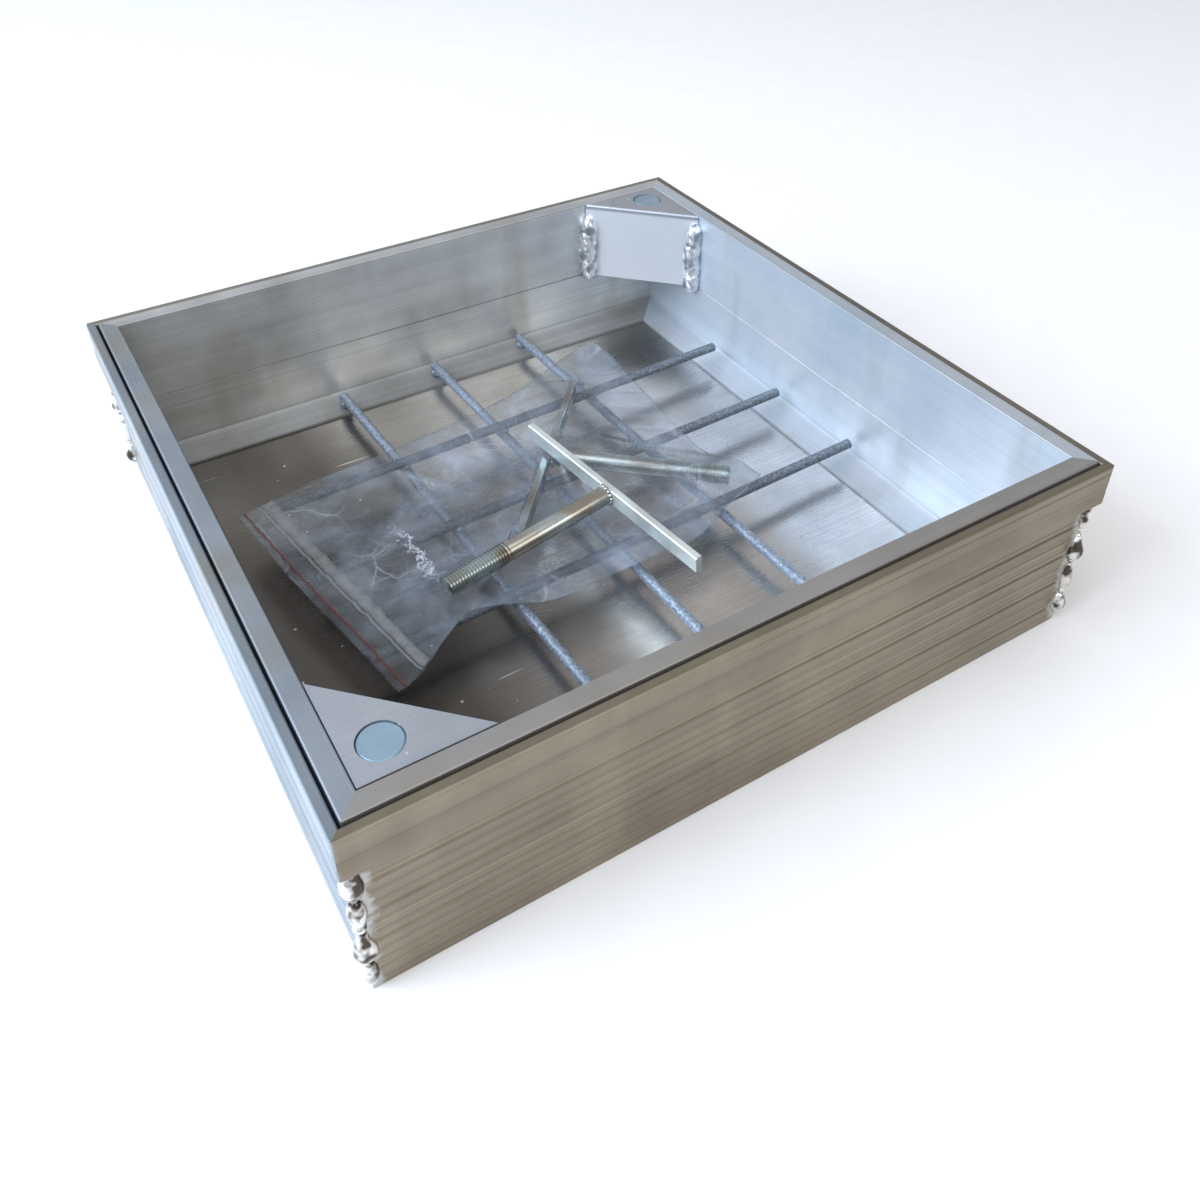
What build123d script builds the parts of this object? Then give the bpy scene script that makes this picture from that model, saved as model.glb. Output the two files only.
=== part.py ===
"""Recessed access cover for block paving: an aluminium frame, a lift-out tray lid and two lifting keys.

Millimetres, +Z up. The origin is the middle of the frame's base, on the surface that it stands on.
X runs along the front side and Y from front to back.
"""

import os
from math import cos, radians, sin, sqrt

from build123d import *

# ---- Driving dimensions ----------------------------------------------------------------------
SIDE = 400.0  # frame, outside of its flange
HEIGHT = 106.0  # frame
SIDES = {"front": 0, "right": 90, "back": 180, "left": 270}  # turn of each side about Z

# Frame extrusion, a Z-shaped section
FLANGE_HEIGHT = 23.5
FLANGE_PROUD = 4.8  # the flange stands out from the wall below it, and is its own thickness
FLANGE_CORNER = 2.5
REBATE_DEPTH = 21.0  # seat for the lid's rim, below the top edge
FRAME_WALL = 3.2
FOOT_REACH = 30.0  # from the flange's face to the foot's inner edge
FOOT_THICK = 3.0
EDGE = 0.6  # small chamfer on exposed edges
BAND_DEPTH = 0.7  # shallow hollow round the flange
GROOVE_PITCH = 18.8
GROOVE_FIRST = 38.0  # below the top edge
GROOVE_COUNT = 4

# Seal strips on the frame's foot
GASKET_WIDTH = 15.0
GASKET_THICK = 2.0
GASKET_INSET = 10.5  # from the flange's face

# Tray lid
LID_SIDE = 388.6
LID_SHIFT = Vector(0.6, 0.5, 0)  # the lid lies off centre by its play in the frame
LID_PROUD = 0.8  # the rim stands above the frame
RIM_WIDTH = 9.3
RIM_DEPTH = 20.3
RIM_SKIN = 2.2
LID_WALL = 3.5
CREASE_DEPTH = 88.5  # where the wall turns into the sloped foot, below the frame's top
SLOPE_RUN = 16.5
SLOPE_DROP = 7.0
SLOPE_SKIN = 2.2
LID_LEG_REACH = 36.0
LID_LEG_THICK = 2.0
FLOOR_THICK = 2.0
FLOOR_TUCK = 10.3  # the floor sheet's edge, from the rim's outer face
SCRIBE_DEPTH = 53.0  # scribed line round the tray, where the gussets end

# Corner gussets with the key sockets
GUSSET_LEG = 57.0
GUSSET_THICK = 3.0
GUSSET_GAP = 0.5
SOCKET_FROM_WALL = 15.7
SOCKET_RADIUS = 11.0
SOCKET_LENGTH = 34.0
THREAD_BORE = 5.1  # M12, at the tapping radius
THREAD_LENGTH = 28.0
CAP_RADIUS = 9.2
CAP_HOLE_RADIUS = 9.6
CAP_SPIGOT_RADIUS = 7.0
CAP_RECESS_RADIUS = 7.3

# Reinforcement mesh on the tray's floor
BAR_RADIUS = 3.0
BAR_PITCH = 67.0
LONG_BAR_LENGTH = 350.0
CROSS_BAR_LENGTH = 318.0
MESH_CENTRE = Vector(10, 17, 0)
MESH_SHIFT = Vector(19, 3, 0)  # how far the bars' middles lie from the frame's centre
MESH_TURN = 2.3  # degrees, as the mesh was dropped in
LONG_BAR_Z = HEIGHT - 85.6  # centre line of the bars that run front to back
CROSS_BAR_Z = LONG_BAR_Z + 2 * BAR_RADIUS

# Lifting keys, M12 rod welded to a flat bar
KEY_ROD_LENGTH = 105.0
KEY_ROD_RADIUS = 5.4
KEY_THREAD_RADIUS = 5.95
KEY_THREAD_LENGTH = 37.0
KEY_BAR_LENGTH = 146.0
KEY_BAR_DEPTH = 10.0
KEY_BAR_THICK = 4.0
KEY_WELD_RADIUS = 6.8

# Zip bag of clear film, 266 by 160 when flat, holding the second key
BAG_OUTLINE = ((-163, 66), (-137, -90), (46, -74), (112, -50), (98, 127))  # from above, mouth first
BAG_FILM = 0.4
BAG_LOW = 4.0  # thickness where it holds only air
BAG_HEIGHT = 15.0  # over the key inside
BAG_MARGIN = 3.0  # from the key inside to the film round it
BAG_CORNER = 6.0
BAG_Z = CROSS_BAR_Z + BAR_RADIUS + 0.3

# ---- Derived sizes ---------------------------------------------------------------------------
RIM_TOP = HEIGHT + LID_PROUD
LID_FOOT_Z = FOOT_THICK + GASKET_THICK
FLOOR_Z = LID_FOOT_Z + LID_LEG_THICK
FRAME_BODY_HALF = SIDE / 2 - FLANGE_PROUD
RECESS_HALF = LID_SIDE / 2 - RIM_WIDTH
LID_BODY_HALF = RECESS_HALF + LID_WALL
GUSSET_REACH = GUSSET_LEG / sqrt(2)
SOCKET_TOP = RIM_TOP - GUSSET_THICK
CAP_SPIGOT_LENGTH = SOCKET_LENGTH - THREAD_LENGTH - 0.5

os.makedirs("parts", exist_ok=True)


def save(piece, label):
    """Labels a finished piece and writes its STEP file."""
    piece.part.label = label
    export_step(piece.part, f"parts/{label}.step")


def about_z(vector, turn):
    return vector.rotate(Axis.Z, turn)


def notch(face, depth_below_top, bite, width):
    """Three points of a V groove cut into an outer face at the given depth, from its top down."""
    z = HEIGHT - depth_below_top
    return [(face, z + width / 2), (face + bite, z), (face, z - width / 2)]


# ---- Extruded sections: x runs inwards from the outer face, y runs up ------------------------
def frame_section():
    flange_bottom = HEIGHT - FLANGE_HEIGHT
    wall_in = FLANGE_PROUD + FRAME_WALL
    points = [(EDGE, HEIGHT), (0, HEIGHT - EDGE)]
    points += notch(0, 4.5, 0.3, 0.7)
    points += [(0, HEIGHT - 11.4), (BAND_DEPTH, HEIGHT - 12.8)]
    points += [(BAND_DEPTH, HEIGHT - 15.6), (0, HEIGHT - 19.6)]
    points += [(0, flange_bottom + EDGE), (EDGE, flange_bottom), (FLANGE_PROUD, flange_bottom)]
    for row in range(GROOVE_COUNT):
        main = GROOVE_FIRST + row * GROOVE_PITCH
        points += notch(FLANGE_PROUD, main - 3.7, 0.3, 0.7)
        points += notch(FLANGE_PROUD, main, 1.0, 1.8)
        if row < GROOVE_COUNT - 1:
            points += notch(FLANGE_PROUD, main + 8.3, 0.4, 0.9)
    points += [(FLANGE_PROUD, EDGE), (FLANGE_PROUD + EDGE, 0), (FOOT_REACH, 0)]
    points += [(FOOT_REACH, FOOT_THICK), (wall_in, FOOT_THICK), (wall_in, HEIGHT - REBATE_DEPTH)]
    points += [(FLANGE_PROUD, HEIGHT - REBATE_DEPTH), (FLANGE_PROUD, HEIGHT - EDGE)]
    return points + [(FLANGE_PROUD - EDGE, HEIGHT)]


def lid_section():
    wall_out = RIM_WIDTH - LID_WALL
    leg_top = LID_FOOT_Z + LID_LEG_THICK
    crease = HEIGHT - CREASE_DEPTH
    toe = RIM_WIDTH + SLOPE_RUN
    scribe = HEIGHT - SCRIBE_DEPTH
    points = [(EDGE, RIM_TOP), (0, RIM_TOP - EDGE), (0, RIM_TOP - RIM_DEPTH)]
    points += [(wall_out, RIM_TOP - RIM_DEPTH), (wall_out, LID_FOOT_Z)]
    points += [(LID_LEG_REACH, LID_FOOT_Z), (LID_LEG_REACH, leg_top), (RIM_WIDTH, leg_top)]
    points += [(RIM_WIDTH, crease - SLOPE_SKIN - 1.0)]
    points += [(toe - 4.5, FLOOR_Z + FLOOR_THICK), (toe, FLOOR_Z + FLOOR_THICK)]
    points += [(toe, crease - SLOPE_DROP), (RIM_WIDTH, crease)]
    points += [(RIM_WIDTH, scribe - 0.5), (RIM_WIDTH - 0.5, scribe), (RIM_WIDTH, scribe + 0.5)]
    return points + [(RIM_WIDTH, RIM_TOP - 0.4), (RIM_WIDTH - 0.4, RIM_TOP)]


def rim_chamber():
    """The rim's hollow, a closed chamber of the extrusion."""
    inner = RIM_WIDTH - LID_WALL
    low, high = RIM_TOP - RIM_DEPTH + RIM_SKIN, RIM_TOP - RIM_SKIN
    return [(RIM_SKIN, low), (inner, low), (inner, high), (RIM_SKIN, high)]


def gasket_section():
    low, high = FOOT_THICK, FOOT_THICK + GASKET_THICK
    return [(0, low), (GASKET_WIDTH, low), (GASKET_WIDTH, high), (0, high)]


def mitred_ring(name, side, centre, section, corner, chamber=None):
    """Four lengths of one section round a square, each mitred at 45 degrees where they meet."""
    for place, turn in SIDES.items():
        outward = about_z(Vector(0, -1, 0), turn)
        across = Plane(centre + outward * side / 2, x_dir=-outward, z_dir=about_z(Vector(1, 0, 0), turn))
        with BuildPart() as rail:
            with BuildSketch(across):
                with BuildLine():
                    Polyline(*section, close=True)
                make_face()
                if chamber:
                    with BuildLine():
                        Polyline(*chamber, close=True)
                    make_face(mode=Mode.SUBTRACT)
            extrude(amount=side / 2, both=True)
            for end in (-1, 1):
                mitre = about_z(Vector(end, -1, 0), turn)
                split(bisect_by=Plane(centre, z_dir=mitre), keep=Keep.TOP)
            if corner:
                with BuildSketch(Plane(centre)):
                    RectangleRounded(side, side, corner)
                extrude(amount=RIM_TOP, mode=Mode.INTERSECT)
        save(rail, f"{name}_{place}")


def spindle(x, y, low, high, radius):
    """A weld bead standing on a corner, thickest in its middle. Used inside a BuildPart block."""
    with BuildSketch(Plane((x, y, 0), x_dir=(1, 0, 0), z_dir=(0, -1, 0))) as half:
        with BuildLine():
            ThreePointArc((0, low), (radius, (low + high) / 2), (0, high))
            Line((0, high), (0, low))
        make_face()
    revolve(half.sketch, axis=Axis((x, y, 0), (0, 0, 1)))


# ---- Frame -----------------------------------------------------------------------------------
ORIGIN = Vector(0, 0, 0)
mitred_ring("frame_rail", SIDE, ORIGIN, frame_section(), FLANGE_CORNER)
mitred_ring("frame_gasket", SIDE - 2 * GASKET_INSET, ORIGIN, gasket_section(), 0)

BEAD_RADIUS = 4.6
BEAD_SPANS = ((63.2, 81.8), (42.0, 62.4), (22.0, 41.4), (7.5, 21.6))  # bottom and top of each bead
CORNERS = {
    "front_left": (-1, -1),
    "front_right": (1, -1),
    "back_right": (1, 1),
    "back_left": (-1, 1),
}
for place, (sx, sy) in CORNERS.items():
    with BuildPart() as corner_beads:
        for low, high in BEAD_SPANS:
            spindle(sx * FRAME_BODY_HALF, sy * FRAME_BODY_HALF, low, high, BEAD_RADIUS)
        with BuildSketch(Plane.XY):
            Rectangle(2 * FRAME_BODY_HALF, 2 * FRAME_BODY_HALF)
        extrude(amount=HEIGHT, mode=Mode.SUBTRACT)
    save(corner_beads, f"frame_welds_{place}")

# ---- Tray lid --------------------------------------------------------------------------------
mitred_ring("tray_rail", LID_SIDE, LID_SHIFT, lid_section(), 0.8, rim_chamber())

with BuildPart() as tray_floor:
    with BuildSketch(Plane(LID_SHIFT).offset(FLOOR_Z)):
        Rectangle(LID_SIDE - 2 * FLOOR_TUCK, LID_SIDE - 2 * FLOOR_TUCK)
    extrude(amount=FLOOR_THICK)
save(tray_floor, "tray_floor")

# Short fillet welds under the tray, from the rails' legs to the floor sheet
STITCH_RADIUS = 1.9
STITCH_LENGTH = 30.0
STITCH_SPACING = 180.0
with BuildPart() as floor_stitches:
    for turn in SIDES.values():
        edge = LID_SIDE / 2 - LID_LEG_REACH
        for along in (-STITCH_SPACING / 2, STITCH_SPACING / 2):
            start = LID_SHIFT + about_z(Vector(along - STITCH_LENGTH / 2, -edge, FLOOR_Z), turn)
            inward = about_z(Vector(0, 1, 0), turn)
            with BuildSketch(Plane(start, x_dir=inward, z_dir=about_z(Vector(1, 0, 0), turn))):
                with BuildLine():
                    Line((0, 0), (0, -STITCH_RADIUS))
                    ThreePointArc(
                        (0, -STITCH_RADIUS),
                        (STITCH_RADIUS * sin(radians(35)), -STITCH_RADIUS * cos(radians(55))),
                        (STITCH_RADIUS, 0),
                    )
                    Line((STITCH_RADIUS, 0), (0, 0))
                make_face()
            extrude(amount=STITCH_LENGTH)
save(floor_stitches, "floor_stitch_welds")

# Beads down the tray's outer corners, below the rim
with BuildPart() as tray_corner_welds:
    for low in (12.0, 48.0):
        with BuildSketch(Plane(LID_SHIFT).offset(low)):
            with Locations(*[(sx * LID_BODY_HALF, sy * LID_BODY_HALF) for sx, sy in CORNERS.values()]):
                RegularPolygon(1.9, 8)
        extrude(amount=34.0)
    with BuildSketch(Plane(LID_SHIFT)):
        Rectangle(2 * LID_BODY_HALF, 2 * LID_BODY_HALF)
    extrude(amount=HEIGHT, mode=Mode.SUBTRACT)
save(tray_corner_welds, "tray_corner_welds")


# ---- Reinforcement mesh ----------------------------------------------------------------------
def mesh_point(x, y, z):
    """A point given from the mesh's centre, in the mesh's own turned axes."""
    return MESH_CENTRE + about_z(Vector(x, y, 0), MESH_TURN) + Vector(0, 0, z)


ALONG = about_z(Vector(0, 1, 0), MESH_TURN)
ACROSS = about_z(Vector(1, 0, 0), MESH_TURN)
BAR_ROWS = (-1, 0, 1)
TACK_RADIUS = 4.0
TACK_DROP = 4.4  # the end tacks reach down to the sloped foot
long_shift = MESH_SHIFT.Y - MESH_CENTRE.Y
cross_shift = MESH_SHIFT.X - MESH_CENTRE.X
tack_points = []
for row, long_name, cross_name in zip(BAR_ROWS, ("left", "middle", "right"), ("front", "middle", "back")):
    long_start = mesh_point(row * BAR_PITCH, long_shift - LONG_BAR_LENGTH / 2, LONG_BAR_Z)
    cross_start = mesh_point(cross_shift - CROSS_BAR_LENGTH / 2, row * BAR_PITCH, CROSS_BAR_Z)
    bars = {
        f"lengthwise_bar_{long_name}": (long_start, ALONG, LONG_BAR_LENGTH),
        f"crosswise_bar_{cross_name}": (cross_start, ACROSS, CROSS_BAR_LENGTH),
    }
    for label, (start, way, length) in bars.items():
        with BuildPart() as bar:
            with BuildSketch(Plane(start, z_dir=way)):
                Circle(BAR_RADIUS)
            extrude(amount=length)
        save(bar, label)
    for other in BAR_ROWS:
        tack_points.append(mesh_point(row * BAR_PITCH, other * BAR_PITCH, LONG_BAR_Z + BAR_RADIUS))
    tack_points += [long_start + ALONG * way - Vector(0, 0, TACK_DROP) for way in (2, LONG_BAR_LENGTH - 2)]

with BuildPart() as mesh_tacks:
    with Locations(*tack_points):
        Sphere(TACK_RADIUS)
save(mesh_tacks, "mesh_tack_welds")

# ---- Corner gussets, key sockets and their caps -----------------------------------------------
for place, sign in {"front": -1, "back": 1}.items():
    corner = LID_SHIFT + Vector(sign, sign, 0) * RECESS_HALF
    inward = Vector(-sign, -sign, 0).normalized()
    diagonal = Plane(corner, x_dir=inward, z_dir=inward.cross(Vector(0, 0, 1)))
    socket = corner + Vector(-sign, -sign, 0) * SOCKET_FROM_WALL
    skirt_bottom = HEIGHT - SCRIBE_DEPTH

    with BuildPart() as gusset:
        with BuildSketch(diagonal) as bent_sheet:
            with BuildLine():
                Polyline(
                    (0, RIM_TOP),
                    (0, SOCKET_TOP),
                    (GUSSET_REACH - GUSSET_THICK, SOCKET_TOP),
                    (GUSSET_REACH - GUSSET_THICK, skirt_bottom),
                    (GUSSET_REACH, skirt_bottom),
                    (GUSSET_REACH, RIM_TOP),
                    close=True,
                )
            make_face()
            bend = diagonal.from_local_coords((GUSSET_REACH, RIM_TOP))
            fillet(bent_sheet.vertices().sort_by_distance(bend)[0], 1.6)
        extrude(amount=GUSSET_LEG, both=True)
        for wall in (Vector(-sign, 0, 0), Vector(0, -sign, 0)):
            split(bisect_by=Plane(corner + wall * GUSSET_GAP, z_dir=wall), keep=Keep.TOP)
        with Locations(socket + Vector(0, 0, RIM_TOP)):
            Hole(CAP_HOLE_RADIUS, GUSSET_THICK)
    save(gusset, f"corner_gusset_{place}")

    with BuildPart() as bush:
        with BuildSketch(Plane(socket).offset(SOCKET_TOP - SOCKET_LENGTH)):
            Circle(SOCKET_RADIUS)
        extrude(amount=SOCKET_LENGTH)
        with Locations(socket + Vector(0, 0, SOCKET_TOP)):
            CounterBoreHole(THREAD_BORE, CAP_RECESS_RADIUS, SOCKET_LENGTH - THREAD_LENGTH, SOCKET_LENGTH)
    save(bush, f"key_socket_{place}")

    with BuildPart() as cap:
        with BuildSketch(Plane(socket).offset(SOCKET_TOP)):
            Circle(CAP_RADIUS)
        extrude(amount=GUSSET_THICK - 0.4)
        chamfer(cap.faces().sort_by(Axis.Z)[-1].edges(), 0.5)
        with BuildSketch(Plane(socket).offset(SOCKET_TOP - CAP_SPIGOT_LENGTH)):
            Circle(CAP_SPIGOT_RADIUS)
        extrude(amount=CAP_SPIGOT_LENGTH)
    save(cap, f"socket_cap_{place}")

    # A bead fills each end of the skirt against its wall
    with BuildPart() as gusset_welds:
        for along in (-1, 1):
            end = diagonal.from_local_coords((GUSSET_REACH, 0, along * (GUSSET_REACH - 1.0)))
            spindle(end.X, end.Y, skirt_bottom - 4, RIM_TOP - 5, 5.0)
        for wall in (Vector(-sign, 0, 0), Vector(0, -sign, 0)):
            split(bisect_by=Plane(corner, z_dir=wall), keep=Keep.TOP)
        split(bisect_by=Plane(corner + inward * GUSSET_REACH, z_dir=inward), keep=Keep.TOP)
    save(gusset_welds, f"gusset_welds_{place}")


# ---- Lifting keys ----------------------------------------------------------------------------
def lifting_key(number, middle, rod_turn, dip):
    """A tee key: a rod with a rolled thread, welded to the middle of a flat bar.

    rod_turn is the rod's heading about Z and dip how far its tip points down, both in degrees.
    """
    heading = about_z(Vector(cos(radians(dip)), 0, -sin(radians(dip))), rod_turn)
    side = about_z(Vector(0, 1, 0), rod_turn)
    rod_start = middle + heading * KEY_BAR_THICK / 2
    rod_plane = Plane(rod_start, x_dir=side, z_dir=heading)

    with BuildPart() as rod:
        with BuildSketch(rod_plane):
            Circle(KEY_ROD_RADIUS)
        extrude(amount=KEY_ROD_LENGTH - KEY_THREAD_LENGTH)
        with BuildSketch(rod_plane.offset(KEY_ROD_LENGTH - KEY_THREAD_LENGTH)):
            Circle(KEY_THREAD_RADIUS)
        extrude(amount=KEY_THREAD_LENGTH)
        tip = rod_plane.offset(KEY_ROD_LENGTH).origin
        chamfer(rod.faces().sort_by_distance(tip)[0].edges(), 0.9)
    save(rod, f"key_{number}_rod")

    with BuildPart() as handle:
        with BuildSketch(Plane(middle, x_dir=side, z_dir=heading)):
            Rectangle(KEY_BAR_LENGTH, KEY_BAR_DEPTH)
        extrude(amount=KEY_BAR_THICK / 2, both=True)
        chamfer(handle.edges().group_by(SortBy.LENGTH)[-1], 0.4)
    save(handle, f"key_{number}_handle")

    with BuildPart() as weld:
        with BuildSketch(rod_plane):
            Circle(KEY_WELD_RADIUS)
            Circle(KEY_ROD_RADIUS, mode=Mode.SUBTRACT)
        extrude(amount=2.0, taper=35)
    save(weld, f"key_{number}_weld")


KEY_ONE_MIDDLE = Vector(14.8, -31.8, BAG_Z + BAG_HEIGHT + 0.5 + KEY_BAR_DEPTH / 2)
KEY_TWO_MIDDLE = Vector(10.7, 29.4, BAG_Z + BAG_FILM + 0.3 + KEY_WELD_RADIUS)
KEY_TWO_TURN = -41.5
lifting_key("one", KEY_ONE_MIDDLE, 187.0, 4.0)
lifting_key("two", KEY_TWO_MIDDLE, KEY_TWO_TURN, 0.0)


# ---- Zip bag ---------------------------------------------------------------------------------
def bag_layer(inset, mode):
    """The pouch's outer skin, or with an inset the air inside it: a low part and a tee-shaped hump."""
    low = BAG_Z + inset
    with BuildSketch(Plane.XY.offset(low)) as outline:
        with BuildLine():
            Polyline(*BAG_OUTLINE, close=True)
        make_face()
        fillet(outline.vertices(), BAG_CORNER)
        if inset:
            offset(amount=-inset, mode=Mode.REPLACE)
    extrude(outline.sketch, amount=BAG_LOW - 2 * inset, mode=mode)
    margin = 2 * (BAG_MARGIN - inset)
    key_plane = Plane(KEY_TWO_MIDDLE, x_dir=about_z(Vector(1, 0, 0), KEY_TWO_TURN))
    with BuildSketch(key_plane.offset(low - KEY_TWO_MIDDLE.Z)) as hump:
        Rectangle(KEY_BAR_THICK + margin, KEY_BAR_LENGTH + margin)
        with Locations((KEY_ROD_LENGTH / 2, 0)):
            Rectangle(KEY_ROD_LENGTH + margin, 2 * KEY_WELD_RADIUS + margin)
    extrude(hump.sketch, amount=BAG_HEIGHT - 2 * inset, mode=mode)


with BuildPart() as zip_bag:
    bag_layer(0, Mode.ADD)
    bag_layer(BAG_FILM, Mode.SUBTRACT)
save(zip_bag, "zip_bag")
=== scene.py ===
"""Looks for a recessed access cover: mill-finish aluminium frame and tray, keys, and a clear zip bag.

Metres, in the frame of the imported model: +Z up, origin in the middle of the frame's base.
"""

import math
import random

import bmesh
import bpy
from mathutils import Matrix, Vector, noise


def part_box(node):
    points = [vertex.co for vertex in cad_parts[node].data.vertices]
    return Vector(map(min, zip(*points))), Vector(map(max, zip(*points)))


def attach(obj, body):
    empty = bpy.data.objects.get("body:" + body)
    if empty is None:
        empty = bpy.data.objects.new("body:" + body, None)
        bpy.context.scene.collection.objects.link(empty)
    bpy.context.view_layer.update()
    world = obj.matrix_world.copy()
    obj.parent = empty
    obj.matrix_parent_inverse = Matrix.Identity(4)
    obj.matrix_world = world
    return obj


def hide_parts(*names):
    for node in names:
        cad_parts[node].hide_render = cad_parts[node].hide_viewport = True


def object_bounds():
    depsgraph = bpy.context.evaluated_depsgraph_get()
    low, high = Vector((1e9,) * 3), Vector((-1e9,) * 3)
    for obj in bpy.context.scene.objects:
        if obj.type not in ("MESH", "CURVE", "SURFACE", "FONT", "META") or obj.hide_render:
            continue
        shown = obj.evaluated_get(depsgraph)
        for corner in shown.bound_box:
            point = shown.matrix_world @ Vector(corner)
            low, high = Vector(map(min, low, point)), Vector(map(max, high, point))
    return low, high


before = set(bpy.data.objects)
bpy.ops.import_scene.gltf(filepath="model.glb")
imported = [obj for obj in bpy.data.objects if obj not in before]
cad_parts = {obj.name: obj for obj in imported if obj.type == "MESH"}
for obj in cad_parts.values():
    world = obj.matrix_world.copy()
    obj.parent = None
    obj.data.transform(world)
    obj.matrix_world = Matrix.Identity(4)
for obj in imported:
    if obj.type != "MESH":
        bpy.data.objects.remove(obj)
cad_low, cad_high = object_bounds()
MM = 0.001


# ---- Small tools -----------------------------------------------------------------------------
def linear(colour):
    """A sRGB hex colour as linear RGBA."""
    channels = [int(colour[i : i + 2], 16) / 255 for i in (1, 3, 5)]
    return tuple(c / 12.92 if c <= 0.04045 else ((c + 0.055) / 1.055) ** 2.4 for c in channels) + (1.0,)


def add(tree, kind, settings=None, links=None):
    """Adds a node. Settings are socket values or properties by name, and links are outputs by socket."""
    node = tree.nodes.new(kind)
    for name, value in (settings or {}).items():
        if isinstance(name, int) or name in node.inputs:
            node.inputs[name].default_value = value
        else:
            setattr(node, name, value)
    for name, output in (links or {}).items():
        tree.links.new(output, node.inputs[name])
    return node


def new_material(name):
    """An empty material, its node tree and the piece's own coordinates, in metres."""
    made = bpy.data.materials.new(name)
    made.use_nodes = True
    tree = made.node_tree
    tree.nodes.clear()
    return made, tree, add(tree, "ShaderNodeTexCoord").outputs["Object"]


def surface(tree, settings, links):
    """The material's Principled shader on its output."""
    shader = add(tree, "ShaderNodeBsdfPrincipled", settings, links)
    add(tree, "ShaderNodeOutputMaterial", None, {"Surface": shader.outputs[0]})


def finish_piece(bm, name, body, material, replaced=(), smooth=True):
    """Writes a bmesh to a named piece that rides on a body and stands for the CAD nodes it replaces."""
    bmesh.ops.recalc_face_normals(bm, faces=bm.faces)
    mesh = bpy.data.meshes.new(name)
    bm.to_mesh(mesh)
    bm.free()
    mesh.materials.append(material)
    mesh.shade_smooth() if smooth else mesh.shade_flat()
    piece = bpy.data.objects.new(name, mesh)
    bpy.context.scene.collection.objects.link(piece)
    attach(piece, body)
    if replaced:
        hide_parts(*replaced)
    return piece


def middle_of(node):
    low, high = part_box(node)
    return (low + high) / 2


# ---- Materials -------------------------------------------------------------------------------
GROOVE_TOP, GROOVE_PITCH = 68 * MM, 18.8 * MM  # height of the frame's top groove, and down to the next
SCRIBE_LINE = 53 * MM  # height of the line along the tray's walls
RIM_TOP_FROM, RIM_TOP_TO = 105.4 * MM, 106.2 * MM  # where the sides round over into the rim's top


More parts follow.
